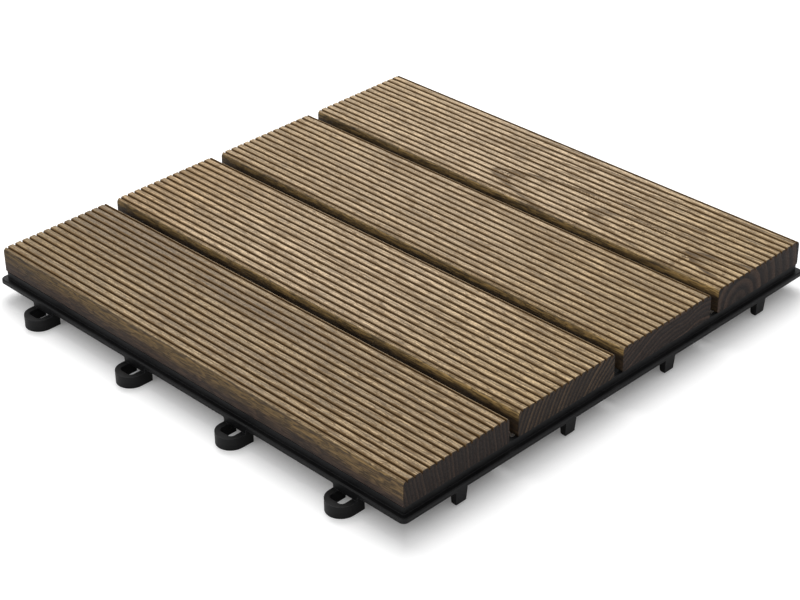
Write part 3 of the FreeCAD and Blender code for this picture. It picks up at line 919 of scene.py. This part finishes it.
def arc(centre: Point, radius: float, first: float, last: float, steps: int) -> list[Point]:
    """Return points along an arc.

    Args:
        centre: its centre.
        radius: its radius.
        first: angle of its first point, in degrees.
        last: angle of its last point, in degrees.
        steps: how many parts it is cut into.

    Returns:
        The points, both ends among them.
    """
    angles = [math.radians(first + (last - first) * i / steps) for i in range(steps + 1)]
    return [(centre[0] + radius * math.cos(a), centre[1] + radius * math.sin(a)) for a in angles]


def skin(mesh: bmesh.types.BMesh, rings: list[list[bmesh.types.BMVert]]) -> None:
    """Lay faces between closed rings of points.

    Args:
        mesh: the mesh that the points are in.
        rings: the rings, in order.
    """
    for ring, following in zip(rings, rings[1:]):
        for i in range(len(ring)):
            j = (i + 1) % len(ring)
            mesh.faces.new((ring[i], ring[j], following[j], following[i]))


def slat_middle(number: int) -> float:
    """Return where the middle of a slat is across the tile, counted from 0."""
    return (number - (SLAT_COUNT - 1) / 2) * SLAT_PITCH


@dataclass
class ReededSlat:
    """One reeded slat, swept along X from its section."""

    number: int
    finish: WoodFinish
    upper_round: float = 2.5
    lower_round: float = 1.0
    groove_half: float = 0.55
    groove_depth: float = 1.35
    mouth_round: float = 0.45
    crown: float = 0.05
    end_bevel: float = 0.25

    def skin_height(self, across: float) -> float:
        """Measure the slat's top before the grooves are cut.

        Args:
            across: way across from the slat's middle.

        Returns:
            The top's height there.
        """
        over = abs(across) - (HALF_WIDTH - self.upper_round)
        if over <= 0:
            return SLAT_TOP
        return SLAT_TOP - self.upper_round + math.sqrt(max(self.upper_round ** 2 - over ** 2, 0.0))

    def groove_section(self, middle: float) -> list[Point]:
        """Return the points of one groove, from its left crest to its right one.

        Args:
            middle: the groove's way across from the slat's middle.

        Returns:
            The points as way across and height.
        """
        wide = self.groove_half + self.mouth_round
        level = SLAT_TOP - self.mouth_round
        floor = SLAT_TOP - self.groove_depth + self.groove_half
        points = arc((middle - wide, level), self.mouth_round, 90, 0, 4)
        points += arc((middle, floor), self.groove_half, 180, 360, 8)
        points += arc((middle + wide, level), self.mouth_round, 180, 90, 4)
        return [(y, min(z, self.skin_height(y))) for y, z in points]

    def section(self) -> list[Point]:
        """Draw the slat's outline across.

        Returns:
            Its points, anticlockwise from the lower left edge.
        """
        low = self.lower_round
        points = arc((-HALF_WIDTH + low, SLAT_BOTTOM + low), low, 180, 270, 3)
        points += arc((HALF_WIDTH - low, SLAT_BOTTOM + low), low, 270, 360, 3)
        centre = (HALF_WIDTH - self.upper_round, SLAT_TOP - self.upper_round)
        past = OUTER_GROOVE + self.groove_half + self.mouth_round - centre[0]
        lip = math.degrees(math.acos(min(past / self.upper_round, 1.0))) if past > 0 else 90.0
        flank = arc(centre, self.upper_round, 0, lip, 6)
        top: list[Point] = []
        for index in range(GROOVE_COUNT):
            groove = -OUTER_GROOVE + index * GROOVE_PITCH
            top += self.groove_section(groove)
            if index < GROOVE_COUNT - 1:
                top.append((groove + GROOVE_PITCH / 2, SLAT_TOP))
        top = [(y, self.crowned(y, z)) for y, z in top]
        points += flank[:-1] + top[::-1] + [(-y, z) for y, z in reversed(flank[:-1])]
        return points

    def crowned(self, across: float, height: float) -> float:
        """Lower the edges of a ridge's top a little, so that it is crowned.

        Args:
            across: the point's way across from the slat's middle.
            height: the point's height.

        Returns:
            The height with the crown, for a point on the top, or else the height as it was.
        """
        if height < SLAT_TOP - 1e-6 or abs(across) > OUTER_GROOVE:
            return height
        place = (across + OUTER_GROOVE) / GROOVE_PITCH - 0.5
        return height - self.crown * min(abs(place - round(place)) * 2, 1.0)

    def build(self) -> bpy.types.Object:
        """Sweep the section along the slat, bevel its ends, and put it in its node's place.

        Returns:
            The slat.
        """
        section = self.section()
        mesh = bmesh.new()
        middle_z = (SLAT_BOTTOM + SLAT_TOP) / 2
        inset = 1.0 - self.end_bevel / HALF_WIDTH
        lift = 1.0 - 2 * self.end_bevel / (SLAT_TOP - SLAT_BOTTOM)
        stations = [(-HALF_LENGTH, inset, lift), (-HALF_LENGTH + self.end_bevel, 1.0, 1.0)]
        stations += [(x, 1.0, 1.0) for x in (-98.0, -49.0, 0.0, 49.0, 98.0)]
        stations += [(HALF_LENGTH - self.end_bevel, 1.0, 1.0), (HALF_LENGTH, inset, lift)]
        rings = []
        for x, wide, tall in stations:
            rings.append([
                mesh.verts.new((x, self.finish.middle_y + y * wide, middle_z + (z - middle_z) * tall))
                for y, z in section
            ])
        skin(mesh, rings)
        for a, b, c in tessellate_polygon([[Vector((y, z, 0.0)) for y, z in section]]):
            mesh.faces.new((rings[0][a], rings[0][b], rings[0][c]))
            mesh.faces.new((rings[-1][a], rings[-1][c], rings[-1][b]))
        piece = finish_mesh(f"reeded_slat_{self.number}", mesh, self.finish.material())
        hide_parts(f"slat_{self.number}")
        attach(piece, "root")
        return piece


@dataclass
class SlatField:
    """The four slats side by side, each cut from its own log."""

    slats: list[ReededSlat] = field(default_factory=list)

    def finishes(self) -> list[WoodFinish]:
        """Choose how each slat is sawn, stained and weathered.

        Returns:
            The finishes, from the -Y side to the +Y side.
        """
        middles = [slat_middle(number) for number in range(SLAT_COUNT)]
        return [
            # The first slat's flank is seen whole, so its painted shade runs down nearly all its height.
            WoodFinish("wood_greyed", middles[0], LogCut.QUARTER_SAWN, 3.0, early=(0.44, 0.33, 0.2),
                       flank_gold=(0.165, 0.105, 0.042), flank_shade_and_latewood=(0.05, 0.032, 0.024),
                       flank_shade_heights=(1.0, 12.2), weathering=0.5, lean=0.004, waviness=2.6, ring_contrast=0.6,
                       start_tint=(0.76, 0.74, 0.69), end_tint=(1.0, 0.98, 0.95), near_lines=0.78,
                       end_line=(0.05, 0.03, 0.021),
                       stains=(Spot(-105.0, -88.0, 110.0, 34.0), Spot(-10.0, -95.0, 120.0, 18.0))),
            WoodFinish("wood_striped", middles[1], LogCut.RIFT_SAWN, 17.0, weathering=0.2, lean=0.015,
                       start_tint=(0.78, 0.72, 0.62), near_lines=0.68, end_line=(0.1, 0.062, 0.035),
                       waviness=2.5, ring_contrast=0.55),
            WoodFinish("wood_even", middles[2], LogCut.OUTER_SAWN, 29.0, early=(0.55, 0.415, 0.265),
                       lean=0.01),
            WoodFinish("wood_flamed", middles[3], LogCut.FLAT_SAWN, 41.0, weathering=0.2, lean=0.1,
                       waviness=1.3, ring_contrast=1.0, line_start=0.68, figure_from=-20.0,
                       late=(0.1, 0.062, 0.027),
                       knots=(Spot(-14.0, 95.5, 8.0, 4.5), Spot(44.0, 91.0, 7.0, 4.0),
                              Spot(114.0, 90.0, 5.0, 6.0)),
                       figure=(
                           Spot(-5.5, 101.0, 15.0, 2.4, 0.61), Spot(36.0, 109.0, 38.0, 2.4, -0.03),
                           Spot(82.0, 105.5, 28.0, 2.2, -0.05), Spot(-8.0, 91.0, 10.0, 2.4, -0.5),
                           Spot(51.0, 95.0, 10.0, 2.2, 0.5), Spot(75.0, 98.0, 19.0, 2.2, -0.07),
                           Spot(114.0, 84.0, 2.6, 9.0), Spot(118.5, 95.5, 7.0, 2.6, 0.9),
                           Spot(129.5, 99.5, 11.0, 2.4), Spot(139.0, 92.5, 3.5, 3.5, -2.2),
                       )),
        ]

    def build(self) -> list[bpy.types.Object]:
        """Return the built slats."""
        self.slats = [ReededSlat(number, finish) for number, finish in enumerate(self.finishes(), start=1)]
        return [slat.build() for slat in self.slats]


@dataclass
class MouldedGrid:
    """The one-piece plastic grid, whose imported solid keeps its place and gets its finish."""

    finish: PlasticFinish = field(default_factory=PlasticFinish)

    def build(self) -> bpy.types.Object:
        """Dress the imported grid.

        Returns:
            The grid.
        """
        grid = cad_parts["base_grid"]
        material = self.finish.material()
        if not grid.material_slots:
            grid.data.materials.append(material)
        for slot in grid.material_slots:
            slot.material = material
        return grid


@dataclass
class ScrewSet:
    """Eight pan-headed screws with a cross recess, seen from below."""

    finish: SteelFinish = field(default_factory=SteelFinish)
    screw_x: float = 125.1111
    head_radius: float = 3.3
    head_low: float = 8.7
    head_seat: float = 11.0
    dome: float = 0.85
    shank_radius: float = 1.74
    shank_top: float = 24.4
    tip_radius: float = 1.1
    recess_reach: float = 1.9
    recess_half: float = 0.42
    recess_depth: float = 1.25
    turns: int = 48

    def underside(self, radius: float, angle: float) -> float:
        """Return the height of the head's underside.

        Args:
            radius: way from the screw's axis.
            angle: angle round the axis, in radians.

        Returns:
            The height, with the dome and the cross recess.
        """
        height = self.head_low + self.dome * (radius / self.head_radius) ** 2.4
        first = abs(radius * math.cos(angle))
        second = abs(radius * math.sin(angle))
        if radius < self.recess_reach and min(first, second) < self.recess_half:
            height += self.recess_depth * (1.0 - 0.55 * radius / self.recess_reach)
        return height

    def add_screw(self, mesh: bmesh.types.BMesh, x: float, y: float, twist: float) -> None:
        """Add one screw to a mesh.

        Args:
            mesh: the mesh that holds all the screws.
            x: the axis's place along the slats.
            y: the axis's place across them.
            twist: how far the recess is turned, in radians.
        """
        radii = [0.3, 0.6, 0.9, 1.2, 1.5, 1.75, 1.95, 2.3, 2.7, 3.0, 3.2, self.head_radius]
        angles = [2 * math.pi * i / self.turns for i in range(self.turns)]
        rings = [[(r, self.underside(r, angle)) for angle in angles] for r in radii]
        rings += [[(r, z)] * self.turns for r, z in (
            (self.head_radius, self.head_seat - 0.15), (self.head_radius - 0.15, self.head_seat),
            (self.shank_radius, self.head_seat), (self.shank_radius, self.shank_top - 0.6),
            (self.tip_radius, self.shank_top))]
        made = []
        for ring in rings:
            made.append([
                mesh.verts.new((x + r * math.cos(angle + twist), y + r * math.sin(angle + twist), z))
                for angle, (r, z) in zip(angles, ring)
            ])
        skin(mesh, made)
        centre = mesh.verts.new((x, y, self.underside(0.0, 0.0)))
        for i in range(self.turns):
            mesh.faces.new((made[0][(i + 1) % self.turns], made[0][i], centre))
        mesh.faces.new(made[-1])

    def build(self) -> bpy.types.Object:
        """Build all the screws as one piece, and put it in their node's place.

        Returns:
            The screws.
        """
        mesh = bmesh.new()
        for side in (-1, 1):
            for number in range(SLAT_COUNT):
                twist = 0.7 * number + 0.4 * side
                self.add_screw(mesh, side * self.screw_x, slat_middle(number), twist)
        piece = finish_mesh("pan_head_screws", mesh, self.finish.material(), 30.0)
        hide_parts("slat_screws")
        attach(piece, "root")
        return piece


@dataclass
class Studio:
    """White floor, soft lamps and the camera at the photograph's angle, in metres and degrees."""

    azimuth: float = 45.08
    elevation: float = 31.44
    distance: float = 1.0038
    target: tuple[float, float, float] = (0.0388, -0.0401, 0.0296)
    focal: float = 90.68
    roll: float = -0.572
    key_watts: float = 31.0
    fill_watts: float = 5.0
    world_level: float = 0.5

    def build_floor(self) -> bpy.types.Object:
        """Lay the floor under the feet.

        Returns:
            The floor.
        """
        mesh = bmesh.new()
        bmesh.ops.create_grid(mesh, x_segments=8, y_segments=8, size=4000.0)
        for vertex in mesh.verts:
            vertex.co.z = -0.1
        floor = finish_mesh("studio_floor", mesh, FloorFinish().material(), closed=False)
        return floor

    def add_lamp(self, name: str, place: tuple[float, float, float], size: float, watts: float) -> None:
        """Add one soft lamp that faces the tile.

        Args:
            name: the lamp's name.
            place: where it hangs, in metres.
            size: its width, in metres.
            watts: its power.
        """
        data = bpy.data.lights.new(name, "AREA")
        data.shape = "DISK"
        data.size = size
        data.energy = watts
        lamp = bpy.data.objects.new(name, data)
        lamp.location = place
        lamp.rotation_euler = (-Vector(place)).to_track_quat("-Z", "Y").to_euler()
        bpy.context.scene.collection.objects.link(lamp)

    def build_world(self) -> None:
        """Give the world a soft even light."""
        world = bpy.data.worlds.new("soft_sky")
        world.use_nodes = True
        graph = Graph(world.node_tree)
        sky = world.node_tree.nodes["Background"]
        white = graph.add("ShaderNodeBackground")
        graph.feed(white.inputs["Color"], WHITE)
        graph.feed(sky.inputs["Color"], WHITE)
        graph.feed(sky.inputs["Strength"], self.world_level)
        mixed = graph.add("ShaderNodeMixShader")
        graph.feed(mixed.inputs[0], graph.add("ShaderNodeLightPath").outputs["Is Camera Ray"])
        graph.feed(mixed.inputs[1], sky.outputs[0])
        graph.feed(mixed.inputs[2], white.outputs[0])
        graph.feed(world.node_tree.nodes["World Output"].inputs["Surface"], mixed.outputs[0])
        bpy.context.scene.world = world

    def build_camera(self) -> bpy.types.Object:
        """Set up the camera at the photograph's place.

        Returns:
            The camera.
        """
        turn, rise, roll = (math.radians(a) for a in (self.azimuth, self.elevation, self.roll))
        back = Vector((math.sin(turn) * math.cos(rise), -math.cos(turn) * math.cos(rise), math.sin(rise)))
        right = Vector((math.cos(turn), math.sin(turn), 0.0))
        up = back.cross(right)
        across = math.cos(roll) * right + math.sin(roll) * up
        upward = -math.sin(roll) * right + math.cos(roll) * up
        place = Vector(self.target) + self.distance * back
        data = bpy.data.cameras.new("photo_camera")
        data.sensor_width = 36.0
        data.lens = self.focal
        data.clip_end = 20.0
        camera = bpy.data.objects.new("photo_camera", data)
        camera.matrix_world = Matrix.Translation(place) @ Matrix((across, upward, back)).transposed().to_4x4()
        bpy.context.scene.collection.objects.link(camera)
        bpy.context.scene.camera = camera
        return camera

    def build(self) -> None:
        """Build the whole studio."""
        self.build_floor()
        self.build_world()
        self.add_lamp("key_lamp", (-0.9, 0.7, 1.7), 1.6, self.key_watts)
        self.add_lamp("fill_lamp", (-0.3, -1.7, 1.1), 1.0, self.fill_watts)
        self.build_camera()
        bpy.context.scene.view_settings.view_transform = "Standard"


def plain(bounds: object) -> list[list[float]]:
    """Return a box's two corners as plain lists of numbers."""
    return [[float(value) for value in corner] for corner in bounds]


def main() -> None:
    """Build the tile's pieces and the studio, and log how many faces the pieces have."""
    logging.basicConfig(level=logging.INFO, format="%(name)s: %(message)s")
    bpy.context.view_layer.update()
    grid = MouldedGrid().build()
    LOG.info("%s: %d faces dressed", grid.name, len(grid.data.polygons))
    for slat in SlatField().build():
        LOG.info("%s: %d faces", slat.name, len(slat.data.polygons))
    screws = ScrewSet().build()
    LOG.info("%s: %d faces", screws.name, len(screws.data.polygons))
    Studio().build()


if __name__ == "__main__":
    main()
